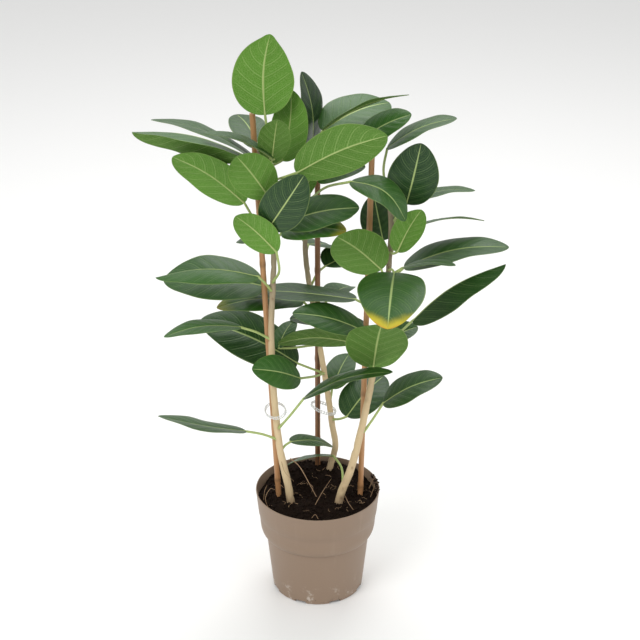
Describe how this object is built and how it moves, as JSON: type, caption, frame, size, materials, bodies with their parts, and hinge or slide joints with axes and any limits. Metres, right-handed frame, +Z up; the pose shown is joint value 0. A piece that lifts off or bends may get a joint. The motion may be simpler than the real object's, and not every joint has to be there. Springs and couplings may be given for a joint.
{
  "type": "potted bengal fig",
  "caption": "Bengal fig houseplant with pale woody stems tied to bamboo canes and broad oval leaves, growing in a round tapered nursery pot of dark soil.",
  "frame": {"origin": "centre of the pot's flat base", "axes": "+Z up along the stems; -Y is the front the plant is seen from; +X to the viewer's right"},
  "size_m": [0.585, 0.3851, 0.99],
  "materials": {
    "pot": "matt taupe moulded plastic with scuffs at the foot",
    "soil": "crumbly dark peat, not shiny",
    "bark": "smooth pale cream bark, browner near the top",
    "bamboo": "satin orange-brown bamboo",
    "tie": "thin clear plastic",
    "leaf": "waxy green upper side, paler matt underside, pale veins"
  },
  "bodies": {
    "root": {"pot": "pot", "soil": "soil", "stem_left": "bark", "stem_middle": "bark", "stem_right": "bark", "cane_left": "bamboo", "cane_middle": "bamboo", "cane_right": "bamboo", "tie_left": "tie", "tie_middle": "tie", "tie_right": "tie", "leaf_left_01": "leaf", "leaf_left_02": "leaf", "leaf_left_03": "leaf", "leaf_left_04": "leaf", "leaf_left_05": "leaf", "leaf_left_06": "leaf", "leaf_left_07": "leaf", "leaf_left_08": "leaf", "leaf_left_09": "leaf", "leaf_left_10": "leaf", "leaf_left_11": "leaf", "leaf_left_12": "leaf", "leaf_left_13": "leaf", "leaf_left_14": "leaf", "leaf_left_15": "leaf", "leaf_left_16": "leaf", "leaf_left_17": "leaf", "leaf_left_18": "leaf", "leaf_left_19": "leaf", "leaf_left_20": "leaf", "leaf_middle_01": "leaf", "leaf_middle_02": "leaf", "leaf_middle_03": "leaf", "leaf_middle_04": "leaf", "leaf_middle_05": "leaf", "leaf_middle_06": "leaf", "leaf_middle_07": "leaf", "leaf_middle_08": "leaf", "leaf_middle_09": "leaf", "leaf_middle_10": "leaf", "leaf_middle_11": "leaf", "leaf_middle_12": "leaf", "leaf_middle_13": "leaf", "leaf_right_01": "leaf", "leaf_right_02": "leaf", "leaf_right_03": "leaf", "leaf_right_04": "leaf", "leaf_right_05": "leaf", "leaf_right_06": "leaf", "leaf_right_07": "leaf", "leaf_right_08": "leaf", "leaf_right_09": "leaf", "leaf_right_10": "leaf", "leaf_right_11": "leaf", "leaf_right_12": "leaf", "leaf_right_13": "leaf", "leaf_right_14": "leaf", "leaf_right_15": "leaf", "leaf_right_16": "leaf"}
  },
  "joints": []
}
